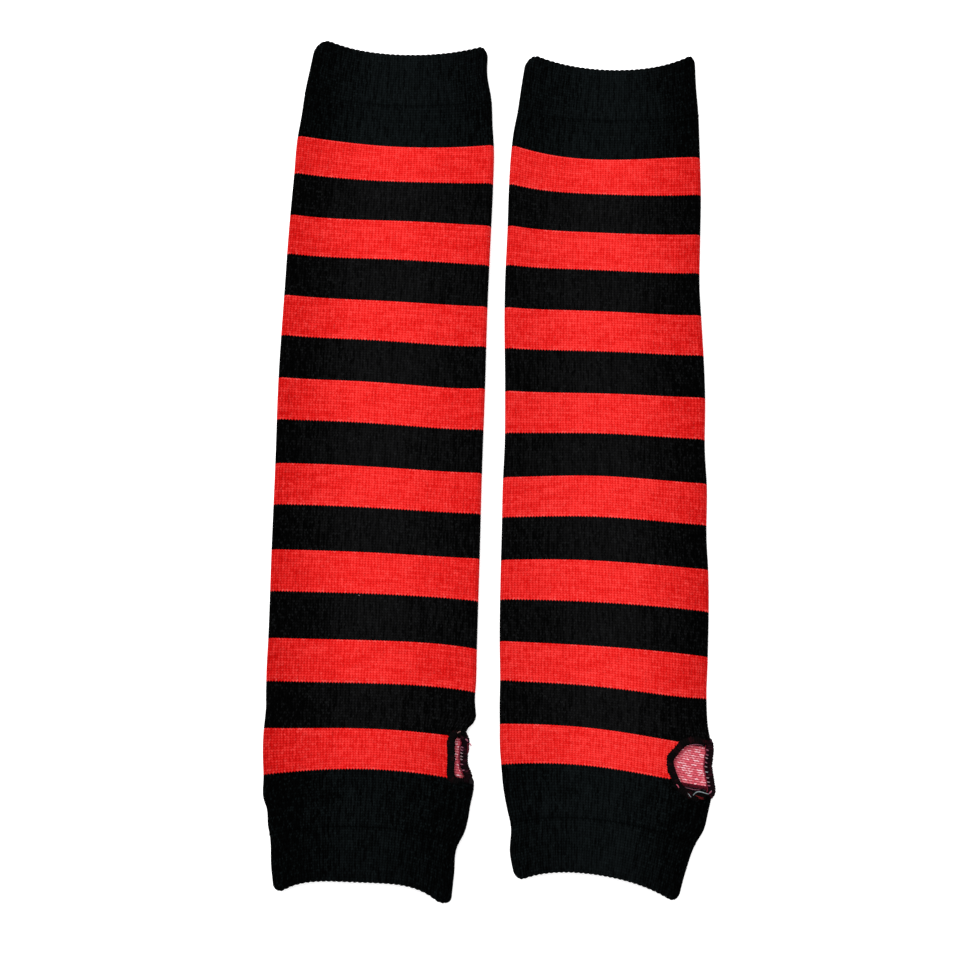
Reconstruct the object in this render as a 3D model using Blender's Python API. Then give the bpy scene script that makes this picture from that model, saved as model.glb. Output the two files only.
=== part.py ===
"""A pair of striped knit arm sleeves, lying flat side by side.

Each sleeve is one seamless knitted tube pressed flat, so that its front lies on its back.
Its two ends are turned in as double hems, and a thumb hole with an overlocked edge is cut
across the right-hand fold near the wrist.  Lengths in the tables are millimetres in the
sleeve's own frame: x across the sleeve, y along it towards the upper arm, z up.
"""

import math
from collections import namedtuple

import bmesh
import bpy
import numpy as np

MM = 0.001

# Cloth
CLOTH_WALL = 1.4
HEM_WALL = 2.2
TUBE_MIDDLE = 3.3
TUBE_FOLD = 4.6
HEM_MIDDLE = 4.9
HEM_FOLD = 5.6
HEM_EASE = 9.0
SEAM_GAP = 0.3

# Thumb hole edging, an oval roll of overlock thread
EDGING_WIDTH = 3.2
EDGING_HEIGHT = 2.2
FLOOR_CLEARANCE = 0.02
CUT_REACH = 50.0
CUT_HEIGHT = 12.0
CUT_DEPTH = 2.0
BETWEEN_LAYERS = 1.65

# Mesh density: steps across a layer, round a fold, along each stretch and round each roll.
# The steps across a layer crowd towards the folds by FOLD_CROWDING.
FLAT_STEPS = 10
FOLD_STEPS = 5
FOLD_CROWDING = 0.3
STRIPE_STEPS = 2
WRIST_STEPS = 4
ARM_STEPS = 3
HEM_STEPS = 4
LIP_STEPS = 4
EDGING_SIDES = 10
EDGING_POINTS = 44

# Colours, linear
RED = (0.80, 0.020, 0.014, 1.0)
BLACK = (0.012, 0.014, 0.016, 1.0)
THREAD = (0.008, 0.008, 0.009, 1.0)

# One section of a sleeve.  along: where its middle lies.  left, right: its two folds.
# The last four: how far the section runs ahead of its middle at the left fold, at 0.6 of
# the way to it, at 0.6 of the way to the right fold, and at the right fold.
Section = namedtuple("Section", "along left right ahead_l near_l near_r ahead_r")
SPOTS = (-1.0, -0.6, 0.0, 0.6, 1.0)

# A sleeve: its place, its lean in degrees, where its hems start, its red stripes, how far each
# corner of its two mouths is rounded off, its sections and the line of its thumb edging.
Sleeve = namedtuple(
    "Sleeve", "name x y lean wrist_seam arm_seam stripes corners sections edging"
)

# A red stripe, from its lower edge to its upper one at the middle of the sleeve.
Stripe = namedtuple("Stripe", "low high")

# A point of the thumb edging.  level: 0 on the surface, 1 at the height of the front layer.
Stitch = namedtuple("Stitch", "across along level")

LEFT = Sleeve(
    name="left",
    x=-41.85,
    y=-9.95,
    lean=1.87,
    wrist_seam=-129.2,
    arm_seam=149.4,
    stripes=[
        Stripe(-108.2, -93.3),
        Stripe(-76.6, -60.5),
        Stripe(-43.1, -27.4),
        Stripe(-10.4, 5.4),
        Stripe(22.1, 38.3),
        Stripe(54.7, 70.6),
        Stripe(87.2, 102.9),
        Stripe(118.8, 133.1),
    ],
    corners={"wrist": (4.0, 6.0), "arm": (7.0, 3.5)},
    sections=[
        Section(-148.9, -32.0, 33.2, -6.4, -0.5, -1.7, -11.3),
        Section(-139.5, -33.2, 33.9, -5.3, -1.0, -1.8, -7.3),
        Section(-129.2, -34.2, 35.0, -4.0, -1.2, -1.6, -5.0),
        Section(-126.2, -35.0, 36.7, -3.8, -1.2, -1.5, -4.8),
        Section(-119.6, -36.0, 38.5, -3.5, -1.2, -1.4, -4.2),
        Section(-117.0, -37.1, 38.8, -3.5, -1.2, -1.4, -4.1),
        Section(-108.2, -37.7, 40.1, -3.4, -1.3, -1.4, -3.9),
        Section(-99.2, -38.5, 38.1, -2.0, -0.9, -1.0, -2.9),
        Section(-93.2, -38.5, 36.9, -1.1, -0.6, -0.9, -2.3),
        Section(-90.0, -38.3, 36.8, -0.9, -0.5, -0.8, -2.2),
        Section(-88.0, -38.2, 38.8, -0.8, -0.4, -0.7, -2.2),
        Section(-85.8, -38.1, 39.9, -0.6, -0.3, -0.6, -2.2),
        Section(-82.3, -38.3, 39.7, -0.5, -0.3, -0.5, -2.2),
        Section(-79.5, -38.4, 39.4, -0.5, -0.3, -0.5, -2.2),
        Section(-73.0, -38.6, 39.6, -0.5, -0.2, -0.5, -2.2),
        Section(-60.4, -38.6, 39.5, -0.5, -0.2, -0.5, -2.2),
        Section(-27.4, -39.1, 39.4, -0.2, 0.1, -0.7, -1.2),
        Section(5.4, -39.4, 39.2, 0.0, 0.4, -0.9, -1.3),
        Section(38.2, -39.9, 39.3, 0.6, 0.4, -1.2, -1.2),
        Section(70.6, -39.4, 39.2, 0.9, 0.4, -0.8, -1.4),
        Section(102.8, -38.7, 39.6, 0.9, 0.1, -0.5, -1.3),
        Section(118.5, -38.0, 39.8, 1.8, 0.7, 0.0, -0.1),
        Section(133.1, -37.4, 39.6, 2.7, 1.4, 0.4, 1.4),
        Section(141.2, -36.3, 38.8, 3.6, 1.5, 0.7, 2.3),
        Section(149.4, -35.4, 38.2, 4.4, 1.5, 1.0, 3.2),
        Section(160.2, -33.8, 36.1, 6.0, 2.1, 1.3, 4.4),
        Section(170.7, -32.7, 36.0, 7.4, 2.4, 1.7, 5.0),
    ],
    edging=[
        Stitch(31.0, -96.4, 1.0),
        Stitch(31.2, -102.6, 1.0),
        Stitch(31.3, -108.2, 1.0),
        Stitch(33.0, -111.3, 0.9),
        Stitch(36.4, -111.9, 0.5),
        Stitch(37.8, -109.6, 0.1),
        Stitch(36.2, -105.4, 0.0),
        Stitch(35.9, -100.3, 0.0),
        Stitch(36.3, -96.6, 0.1),
        Stitch(34.9, -93.9, 0.6),
        Stitch(32.6, -93.9, 0.95),
    ],
)

RIGHT = Sleeve(
    name="right",
    x=43.73,
    y=-9.95,
    lean=0.61,
    wrist_seam=-126.8,
    arm_seam=142.9,
    stripes=[
        Stripe(-107.7, -93.7),
        Stripe(-78.0, -62.8),
        Stripe(-46.4, -30.6),
        Stripe(-13.9, 1.9),
        Stripe(18.3, 34.0),
        Stripe(50.4, 66.4),
        Stripe(82.7, 97.9),
        Stripe(113.4, 127.6),
    ],
    corners={"wrist": (4.0, 4.0), "arm": (6.0, 3.0)},
    sections=[
        Section(-146.1, -33.4, 27.2, -3.4, 0.3, -4.4, -10.9),
        Section(-136.5, -34.8, 29.6, -2.5, 0.5, -4.2, -9.2),
        Section(-126.8, -34.6, 33.3, -1.5, 0.6, -3.9, -8.0),
        Section(-122.5, -35.8, 36.3, -0.8, 0.9, -3.8, -7.4),
        Section(-117.0, -37.1, 38.0, 0.2, 1.2, -3.6, -6.6),
        Section(-107.9, -38.2, 39.9, 0.8, 1.5, -3.8, -6.2),
        Section(-100.7, -38.8, 40.0, 1.3, 1.6, -3.7, -6.1),
        Section(-93.9, -38.9, 39.6, 1.7, 1.7, -3.6, -6.0),
        Section(-85.8, -39.0, 38.2, 1.9, 1.6, -3.1, -5.0),
        Section(-78.2, -38.9, 37.9, 2.1, 1.5, -2.7, -4.0),
        Section(-63.0, -39.2, 38.5, 1.5, 1.1, -1.8, -3.7),
        Section(-30.6, -39.0, 39.0, -0.2, 0.4, -1.6, -3.1),
        Section(-19.0, -38.8, 38.5, -0.5, 0.1, -1.6, -3.0),
        Section(1.9, -38.5, 38.8, -1.1, -0.3, -1.5, -2.8),
        Section(14.0, -38.0, 38.2, -0.6, -0.1, -1.2, -2.4),
        Section(34.0, -38.0, 38.5, 0.4, 0.2, -0.8, -1.6),
        Section(66.4, -38.5, 37.3, 1.0, 0.5, -1.0, -1.5),
        Section(76.0, -38.4, 36.8, 1.3, 0.6, -0.9, -1.3),
        Section(97.7, -37.6, 37.2, 2.3, 0.9, -0.5, -0.8),
        Section(113.4, -37.2, 37.6, 3.6, 1.2, -0.3, -0.2),
        Section(127.4, -36.3, 37.4, 5.2, 1.8, 0.8, 0.8),
        Section(134.7, -35.5, 37.2, 4.8, 1.7, 0.9, 2.1),
        Section(142.9, -34.1, 36.9, 4.1, 1.4, 1.1, 3.4),
        Section(153.1, -32.7, 36.1, 5.6, 1.9, 1.5, 5.0),
        Section(164.3, -31.4, 35.7, 7.7, 2.6, 2.0, 7.1),
    ],
    edging=[
        Stitch(23.9, -104.7, 1.0),
        Stitch(25.4, -110.4, 1.0),
        Stitch(28.0, -114.9, 1.0),
        Stitch(31.6, -117.3, 1.0),
        Stitch(36.2, -118.2, 0.75),
        Stitch(39.2, -116.2, 0.2),
        Stitch(39.1, -111.8, 0.0),
        Stitch(38.3, -106.4, 0.0),
        Stitch(38.9, -101.0, 0.05),
        Stitch(38.2, -97.4, 0.5),
        Stitch(34.2, -96.7, 0.95),
        Stitch(29.4, -97.9, 1.0),
        Stitch(26.3, -100.9, 1.0),
    ],
)


def clear_scene():
    for obj in list(bpy.data.objects):
        bpy.data.objects.remove(obj, do_unlink=True)


def make_material(name, colour, roughness):
    material = bpy.data.materials.new(name)
    material.use_nodes = True
    shader = material.node_tree.nodes["Principled BSDF"]
    shader.inputs["Base Color"].default_value = colour
    shader.inputs["Roughness"].default_value = roughness
    shader.inputs["Metallic"].default_value = 0.0
    material.diffuse_color = colour
    return material


def make_collection(name):
    collection = bpy.data.collections.new(name)
    bpy.context.scene.collection.children.link(collection)
    return collection


def ease(x):
    """0 below 0, 1 above 1, and a smooth step between them."""
    x = np.clip(x, 0.0, 1.0)
    return x * x * (3.0 - 2.0 * x)


def read_column(sleeve, column, along):
    """A column of the section table at any place, on a smooth cubic through its rows."""
    places = np.array([row.along for row in sleeve.sections])
    values = np.array([getattr(row, column) for row in sleeve.sections])
    slopes = np.gradient(values, places)
    i = int(np.clip(np.searchsorted(places, along) - 1, 0, len(places) - 2))
    span = places[i + 1] - places[i]
    u = (along - places[i]) / span
    return (
        (2 * u**3 - 3 * u**2 + 1) * values[i]
        + (u**3 - 2 * u**2 + u) * span * slopes[i]
        + (3 * u**2 - 2 * u**3) * values[i + 1]
        + (u**3 - u**2) * span * slopes[i + 1]
    )


def rounding(sleeve, along):
    """How far the two fold ends of a section are drawn back, full at a mouth, none at its seam."""
    mouths = {
        "wrist": (sleeve.sections[0].along, sleeve.wrist_seam),
        "arm": (sleeve.sections[-1].along, sleeve.arm_seam),
    }
    drawn = np.zeros(2)
    for end, (mouth, seam) in mouths.items():
        share = np.clip((along - seam) / (mouth - seam), 0.0, 1.0) ** 2
        drawn += np.sign(seam - mouth) * share * np.array(sleeve.corners[end])
    return drawn


def hem_share(sleeve, along):
    """0 in the striped tube, 1 in a hem, easing over HEM_EASE before the seam."""
    past_arm = (along - sleeve.arm_seam) / HEM_EASE + 1.0
    past_wrist = (sleeve.wrist_seam - along) / HEM_EASE + 1.0
    return float(ease(max(past_arm, past_wrist)))


def surface_height(sleeve, along, across):
    """Height of the top of the flattened sleeve, lowest in the middle and fuller at the folds."""
    share = hem_share(sleeve, along)
    middle = TUBE_MIDDLE + (HEM_MIDDLE - TUBE_MIDDLE) * share
    fold = TUBE_FOLD + (HEM_FOLD - TUBE_FOLD) * share
    left = read_column(sleeve, "left", along) + fold / 2
    right = read_column(sleeve, "right", along) - fold / 2
    f = np.clip(2.0 * (across - left) / (right - left) - 1.0, -1.0, 1.0)
    return middle + (fold - middle) * f**4


def section_ring(sleeve, along, inset):
    """Points of one section, in from the outer face by inset: flat back, fold, front, fold."""
    share = hem_share(sleeve, along)
    radius = (TUBE_FOLD + (HEM_FOLD - TUBE_FOLD) * share) / 2
    left = read_column(sleeve, "left", along)
    right = read_column(sleeve, "right", along)
    grid = np.linspace(-1.0, 1.0, FLAT_STEPS + 1)
    grid = grid * (1.0 + FOLD_CROWDING * (1.0 - grid**2))
    flat = left + radius + (right - left - 2 * radius) * (grid + 1.0) / 2
    turn = np.linspace(-math.pi / 2, math.pi / 2, FOLD_STEPS + 1)[1:-1]
    core = radius - inset
    across = np.concatenate(
        [
            flat,
            right - radius + core * np.cos(turn),
            flat[::-1],
            left + radius - core * np.cos(turn),
        ]
    )
    height = np.concatenate(
        [
            np.full(flat.size, inset),
            radius + core * np.sin(turn),
            surface_height(sleeve, along, flat[::-1]) - inset,
            radius - core * np.sin(turn),
        ]
    )
    f = 2.0 * (across - left) / (right - left) - 1.0
    columns = ("ahead_l", "near_l", "near_r", "ahead_r")
    ahead = [read_column(sleeve, name, along) for name in columns]
    ahead.insert(2, 0.0)
    curve = np.polyval(np.polyfit(SPOTS, ahead, 4), f)
    half = (right - left) / 2
    for side, drawn in zip((-1.0, 1.0), rounding(sleeve, along)):
        if drawn:
            reach = abs(drawn) / half
            curve += drawn * np.clip((side * f - 1.0 + reach) / reach, 0.0, 1.0) ** 2
    return np.column_stack([across, along + curve, height]) * MM


def loft(name, rings, collection, parent, materials, bands=None):
    """A closed body from rings joined one to the next and the last to the first."""
    points = np.concatenate(rings)
    count, around = len(rings), len(rings[0])
    faces = []
    for i in range(count):
        for j in range(around):
            k = (j + 1) % around
            after = (i + 1) % count
            faces.append((i * around + j, after * around + j, after * around + k, i * around + k))
    mesh = bpy.data.meshes.new(name)
    mesh.from_pydata(points.tolist(), [], faces)
    for material in materials:
        mesh.materials.append(material)
    if bands is not None:
        mesh.polygons.foreach_set("material_index", np.repeat(bands, around).astype(np.int32))
    close_normals(mesh)
    obj = bpy.data.objects.new(name, mesh)
    obj.parent = parent
    collection.objects.link(obj)
    return obj


def close_normals(mesh):
    shape = bmesh.new()
    shape.from_mesh(mesh)
    bmesh.ops.recalc_face_normals(shape, faces=shape.faces)
    shape.to_mesh(mesh)
    shape.free()
    mesh.shade_smooth()
    mesh.set_sharp_from_angle(angle=math.radians(50))


def split_each(edges, parts):
    """The same places with each stretch cut into equal parts."""
    pieces = [np.linspace(a, b, parts + 1)[:-1] for a, b in zip(edges[:-1], edges[1:])]
    return np.concatenate(pieces + [edges[-1:]])


def striped_tube(sleeve, collection, parent, materials):
    """The striped wall between the hems, open at both ends."""
    edges = np.array(sleeve.stripes).ravel()
    low = sleeve.wrist_seam + SEAM_GAP / 2
    high = sleeve.arm_seam - SEAM_GAP / 2
    outer = np.concatenate(
        [
            split_each(np.array([low, edges[0]]), WRIST_STEPS)[:-1],
            split_each(edges, STRIPE_STEPS),
            split_each(np.array([edges[-1], high]), ARM_STEPS)[1:],
        ]
    )
    inner = np.concatenate([[low, low + HEM_EASE], edges, [high - HEM_EASE, high]])[::-1]
    path = [(place, 0.0) for place in outer] + [(place, CLOTH_WALL) for place in inner]
    rings = [section_ring(sleeve, place, inset) for place, inset in path]
    places = np.array([place for place, _ in path])
    middles = (places + np.roll(places, -1)) / 2
    band = np.searchsorted(edges, middles)
    is_red = (band % 2 == 1) & (middles > edges[0]) & (middles < edges[-1])
    return loft(
        f"{sleeve.name}_striped_tube", rings, collection, parent, materials, is_red.astype(int)
    )


def hem(sleeve, end, collection, parent, material):
    """A hem turned to the inside: a wall of two layers with a rounded mouth edge."""
    mouth, seam = {
        "wrist": (sleeve.sections[0].along, sleeve.wrist_seam),
        "arm": (sleeve.sections[-1].along, sleeve.arm_seam),
    }[end]
    outward = math.copysign(1.0, mouth - seam)
    lip = HEM_WALL / 2
    start = seam + outward * SEAM_GAP / 2
    shoulder = mouth - outward * lip
    body = np.linspace(start, shoulder, HEM_STEPS + 1)
    turn = np.linspace(0.0, math.pi, LIP_STEPS + 1)[1:-1]
    path = [(place, 0.0) for place in body]
    path += [(shoulder + outward * lip * math.sin(a), lip - lip * math.cos(a)) for a in turn]
    path += [(place, HEM_WALL) for place in body[::-1]]
    rings = [section_ring(sleeve, place, inset) for place, inset in path]
    return loft(f"{sleeve.name}_{end}_hem", rings, collection, parent, [material])


def edging_line(sleeve):
    """The closed line of the thumb edging, a smooth curve through its stitches."""
    stitches = np.array(sleeve.edging)
    before, after = np.roll(stitches, 1, axis=0), np.roll(stitches, -1, axis=0)
    beyond = np.roll(stitches, -2, axis=0)
    per_span = math.ceil(EDGING_POINTS / len(stitches))
    line = []
    for i in range(len(stitches)):
        for u in np.arange(per_span) / per_span:
            line.append(
                0.5
                * (
                    2 * stitches[i]
                    + (after[i] - before[i]) * u
                    + (2 * before[i] - 5 * stitches[i] + 4 * after[i] - beyond[i]) * u**2
                    + (3 * stitches[i] - before[i] - 3 * after[i] + beyond[i]) * u**3
                )
            )
    line = np.array(line)
    rest = EDGING_HEIGHT / 2 + FLOOR_CLEARANCE
    layer = [surface_height(sleeve, y, x) - CLOTH_WALL / 2 for x, y, _ in line]
    height = rest + np.clip(line[:, 2], 0.0, 1.0) * (np.array(layer) - rest)
    return np.column_stack([line[:, :2], height]) * MM, np.clip(line[:, 2], 0.0, 1.0)


def oval_profile(name, width, height, collection):
    """The edging's section as a closed curve, a guide that isn't part of the sleeve."""
    curve = bpy.data.curves.new(name, "CURVE")
    curve.dimensions = "2D"
    spline = curve.splines.new("POLY")
    spline.points.add(EDGING_SIDES - 1)
    spline.use_cyclic_u = True
    for i, point in enumerate(spline.points):
        angle = -2 * math.pi * i / EDGING_SIDES
        point.co = (width / 2 * math.cos(angle) * MM, height / 2 * math.sin(angle) * MM, 0.0, 1.0)
    guide = bpy.data.objects.new(name, curve)
    guide.hide_render = True
    guide.display_type = "WIRE"
    collection.objects.link(guide)
    return guide


def edging_roll(name, sleeve, grow, collection, guides, parent):
    """The oval roll along the edging's line, grown all round by grow."""
    line, _ = edging_line(sleeve)
    curve = bpy.data.curves.new(name, "CURVE")
    curve.dimensions = "3D"
    curve.twist_mode = "Z_UP"
    curve.bevel_mode = "OBJECT"
    curve.bevel_object = oval_profile(
        f"{name}_profile", EDGING_WIDTH + 2 * grow, EDGING_HEIGHT + 2 * grow, guides
    )
    spline = curve.splines.new("POLY")
    spline.points.add(len(line) - 1)
    spline.use_cyclic_u = True
    spline.points.foreach_set("co", np.column_stack([line, np.ones(len(line))]).ravel())
    roll = bpy.data.objects.new(name, curve)
    roll.parent = parent
    collection.objects.link(roll)
    return roll


def as_mesh(curve_object, collection):
    """The curve's evaluated shape as a mesh object in the same place; the curve is removed."""
    bpy.context.view_layer.update()
    graph = bpy.context.evaluated_depsgraph_get()
    mesh = bpy.data.meshes.new_from_object(curve_object.evaluated_get(graph))
    shape = bmesh.new()
    shape.from_mesh(mesh)
    bmesh.ops.remove_doubles(shape, verts=shape.verts, dist=1e-6)
    bmesh.ops.recalc_face_normals(shape, faces=shape.faces)
    shape.to_mesh(mesh)
    shape.free()
    name, parent, place = curve_object.name, curve_object.parent, curve_object.matrix_world.copy()
    bpy.data.objects.remove(curve_object, do_unlink=True)
    obj = bpy.data.objects.new(name, mesh)
    collection.objects.link(obj)
    obj.parent = parent
    obj.matrix_world = place
    return obj


def prism(name, outline, low, high, collection, parent):
    """A flat outline made solid between two heights."""
    curve = bpy.data.curves.new(name, "CURVE")
    curve.dimensions = "2D"
    curve.fill_mode = "BOTH"
    curve.extrude = (high - low) / 2 * MM
    spline = curve.splines.new("POLY")
    spline.points.add(len(outline) - 1)
    spline.use_cyclic_u = True
    flat = np.column_stack([outline, np.zeros(len(outline)), np.ones(len(outline))])
    spline.points.foreach_set("co", flat.ravel())
    obj = bpy.data.objects.new(name, curve)
    obj.parent = parent
    obj.location.z = (high + low) / 2 * MM
    collection.objects.link(obj)
    return as_mesh(obj, collection)


def open_outline(line, chosen):
    """The outline from the chosen stretch of a closed line out past the right-hand fold."""
    start = int(np.flatnonzero(chosen & ~np.roll(chosen, 1))[0])
    stretch = np.roll(line, -start, axis=0)[np.roll(chosen, -start), :2]
    beyond = CUT_REACH * MM
    return np.concatenate([stretch, [[beyond, stretch[-1, 1]], [beyond, stretch[0, 1]]]])


def cut_thumb_hole(sleeve, tube, cutters, parent):
    """Opens the front layer inside the edging, the fold beyond it, and room for the edging."""
    line, level = edging_line(sleeve)
    front = open_outline(line, level > 0.5)
    back = open_outline(line, level <= 0.5)
    room = edging_roll(f"{sleeve.name}_edging_room", sleeve, SEAM_GAP, cutters, cutters, parent)
    tools = [
        prism(f"{sleeve.name}_front_cut", front, BETWEEN_LAYERS, CUT_HEIGHT, cutters, parent),
        prism(f"{sleeve.name}_fold_cut", back, -CUT_DEPTH, CUT_HEIGHT, cutters, parent),
        as_mesh(room, cutters),
    ]
    for tool in tools:
        tool.hide_render = True
        tool.display_type = "WIRE"
        modifier = tube.modifiers.new(tool.name, "BOOLEAN")
        modifier.operation = "DIFFERENCE"
        modifier.object = tool


def build_sleeve(sleeve, collection, cutters, red, black, thread):
    place = bpy.data.objects.new(f"{sleeve.name}_sleeve", None)
    place.location = (sleeve.x * MM, sleeve.y * MM, 0.0)
    place.rotation_euler.z = -math.radians(sleeve.lean)
    collection.objects.link(place)
    tube = striped_tube(sleeve, collection, place, [black, red])
    cut_thumb_hole(sleeve, tube, cutters, place)
    for end in ("wrist", "arm"):
        hem(sleeve, end, collection, place, black)
    edging = edging_roll(f"{sleeve.name}_thumb_edging", sleeve, 0.0, collection, cutters, place)
    edging.data.materials.append(thread)


def main():
    clear_scene()
    collection = make_collection("arm_sleeves")
    cutters = make_collection("arm_sleeves_cutters")
    red = make_material("red_knit", RED, 0.85)
    black = make_material("black_knit", BLACK, 0.9)
    thread = make_material("black_thread", THREAD, 0.7)
    for sleeve in (LEFT, RIGHT):
        build_sleeve(sleeve, collection, cutters, red, black, thread)


main()
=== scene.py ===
import math

import bpy
import numpy as np
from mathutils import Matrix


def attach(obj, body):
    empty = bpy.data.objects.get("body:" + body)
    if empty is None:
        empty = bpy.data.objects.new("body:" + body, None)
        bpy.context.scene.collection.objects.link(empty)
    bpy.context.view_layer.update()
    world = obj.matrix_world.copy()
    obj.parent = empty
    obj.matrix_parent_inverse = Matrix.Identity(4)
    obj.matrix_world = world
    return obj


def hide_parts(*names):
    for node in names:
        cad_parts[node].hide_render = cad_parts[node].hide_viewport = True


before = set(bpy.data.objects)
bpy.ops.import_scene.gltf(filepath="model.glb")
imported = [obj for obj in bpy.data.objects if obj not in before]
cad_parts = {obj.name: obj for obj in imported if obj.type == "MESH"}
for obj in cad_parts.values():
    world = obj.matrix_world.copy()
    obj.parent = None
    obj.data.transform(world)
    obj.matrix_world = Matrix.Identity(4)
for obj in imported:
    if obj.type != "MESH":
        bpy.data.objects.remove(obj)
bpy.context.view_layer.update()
print("frame loaded:", len(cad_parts), "solids")

mm = 0.001

# the cloth, in millimetres unless a name says otherwise
cloth = {
    "wall": 1.4,
    "hemWall": 2.2,
    "tubeMiddle": 3.3,
    "tubeFold": 4.6,
    "hemMiddle": 4.9,
    "hemFold": 5.6,
    "hemEase": 9.0,  # how far before a hem the tube starts to thicken
    "betweenLayers": 1.65,  # the height that parts the back layer from the front one
    "wales": 144,
    "course": 0.959,
    "coursesPerStripe": 17,
    "bands": 15,  # 8 red and 7 black stripes
    "grooveDepth": 0.16,
    "grooveSharp": 1.5,
    "splitDepth": 0.09,
    "seamGap": 0.01,
    "seamRound": 0.05,  # how deep the cloth is rounded off at a seam, and how far from it
    "seamReach": 1.2,
    "pullReach": 8.0,  # how far round the last stripe's edge the back layer is pulled
    "pastFold": 42.0,  # a place outside the right-hand fold
    "edgeFit": 4,  # the degree of the curve that smooths the folds
}

# how fine the meshes are: samples over one wale where it shows, rows along each stretch,
# steps between two of the edging's stitches and round its whole line, points of a thread
mesh = {
    "samplesPerWale": 4,
    "firstFineWale": 30,
    "lastFineWale": 114,
    "tubeRows": 176,
    "hemRows": 18,
    "lipRows": 7,
    "hemInnerRows": 7,
    "curveSteps": 24,
    "cutSteps": 160,
    "bend": 5,
}

# how the pieces share their baked picture, which is 1 wide and 1 high: the margin and width
# of all of them, and each kind's rows; loose threads start at a row and go up by a step
bakeRoom = {
    "margin": 0.01,
    "width": 0.98,
    "outer": (0.01, 0.76),
    "inner": (0.80, 0.975),
    "lint": (0.977, 0.984),
    "hem": (0.01, 0.81),
    "links": (0.83, 0.98),
    "roll": (0.01, 0.58),
    "looper": (0.60, 0.615),
    "tufts": (0.635, 0.03),
    "threads": (0.73, 0.028),
    "threadRows": 0.012,
}

# the two sleeves, in each one's own frame: x across, y along towards the upper arm.
# A section is: place, left fold, right fold, and how far it runs ahead of its middle at
# the left fold, 0.6 of the way to it, 0.6 of the way to the right fold, the right fold.
# Corners are how far a mouth's left and right corner are rounded off
sectionColumns = ("along", "left", "right", "aheadLeft", "nearLeft", "nearRight", "aheadRight")
sectionSpots = (-1.0, -0.6, 0.0, 0.6, 1.0)

leftSleeve = {
    "name": "left",
    "x": -41.85,
    "y": -9.95,
    "lean": 1.87,
    "wristSeam": -129.2,
    "armSeam": 149.4,
    "corners": {"wrist": (4.0, 6.0), "arm": (7.0, 3.5)},
    "stripes": [
        (-108.2, -93.3), (-76.6, -60.5), (-43.1, -27.4), (-10.4, 5.4),
        (22.1, 38.3), (54.7, 70.6), (87.2, 102.9), (118.8, 133.1),
    ],
    "sections": [
        (-148.9, -32.0, 33.2, -6.4, -0.5, -1.7, -11.3),
        (-139.5, -33.2, 33.9, -5.3, -1.0, -1.8, -7.3),
        (-129.2, -34.2, 35.0, -4.0, -1.2, -1.6, -5.0),
        (-126.2, -35.0, 36.7, -3.8, -1.2, -1.5, -4.8),
        (-119.6, -36.0, 38.5, -3.5, -1.2, -1.4, -4.2),
        (-117.0, -37.1, 38.8, -3.5, -1.2, -1.4, -4.1),
        (-108.2, -37.7, 40.1, -3.4, -1.3, -1.4, -3.9),
        (-99.2, -38.5, 38.1, -2.0, -0.9, -1.0, -2.9),
        (-93.2, -38.5, 36.9, -1.1, -0.6, -0.9, -2.3),
        (-90.0, -38.3, 36.8, -0.9, -0.5, -0.8, -2.2),
        (-88.0, -38.2, 38.8, -0.8, -0.4, -0.7, -2.2),
        (-85.8, -38.1, 39.9, -0.6, -0.3, -0.6, -2.2),
        (-82.3, -38.3, 39.7, -0.5, -0.3, -0.5, -2.2),
        (-79.5, -38.4, 39.4, -0.5, -0.3, -0.5, -2.2),
        (-73.0, -38.6, 39.6, -0.5, -0.2, -0.5, -2.2),
        (-60.4, -38.6, 39.5, -0.5, -0.2, -0.5, -2.2),
        (-27.4, -39.1, 39.4, -0.2, 0.1, -0.7, -1.2),
        (5.4, -39.4, 39.2, 0.0, 0.4, -0.9, -1.3),
        (38.2, -39.9, 39.3, 0.6, 0.4, -1.2, -1.2),
        (70.6, -39.4, 39.2, 0.9, 0.4, -0.8, -1.4),
        (102.8, -38.7, 39.6, 0.9, 0.1, -0.5, -1.3),
        (118.5, -38.0, 39.8, 1.8, 0.7, 0.0, -0.1),
        (133.1, -37.4, 39.6, 2.7, 1.4, 0.4, 1.4),
        (141.2, -36.3, 38.8, 3.6, 1.5, 0.7, 2.3),
        (149.4, -35.4, 38.2, 4.4, 1.5, 1.0, 3.2),
        (160.2, -33.8, 36.1, 6.0, 2.1, 1.3, 4.4),
        (170.7, -32.7, 36.0, 7.4, 2.4, 1.7, 5.0),
    ],
    "pulled": 0.3,  # courses that the back layer is pulled along in the thumb hole
    "cutDrop": 1.2,  # how much lower the lower end of the cut is at the fold
    "looper": 1.16,  # how far out the looper thread lies, by the roll's own size
    # a fleck of lint: from and to along the sleeve and by wale, and how far it stands out
    "lint": {
        "along": (-43.9, -43.5), "wale": (76.55, 76.85), "radius": 0.17, "proud": 0.1, "sides": 6,
    },
    # the thumb edging's line: across, along, level (0 on the surface, 1 on the front layer)
    "edging": [
        (31.0, -96.4, 1.0), (31.2, -102.6, 1.0), (31.2, -108.7, 1.0), (32.6, -111.1, 0.9),
        (36.4, -111.4, 0.5), (37.8, -109.6, 0.1), (36.2, -105.4, 0.0), (35.9, -100.3, 0.0),
        (36.3, -96.6, 0.1), (34.9, -93.9, 0.6), (32.6, -93.9, 0.95),
    ],
}

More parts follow.
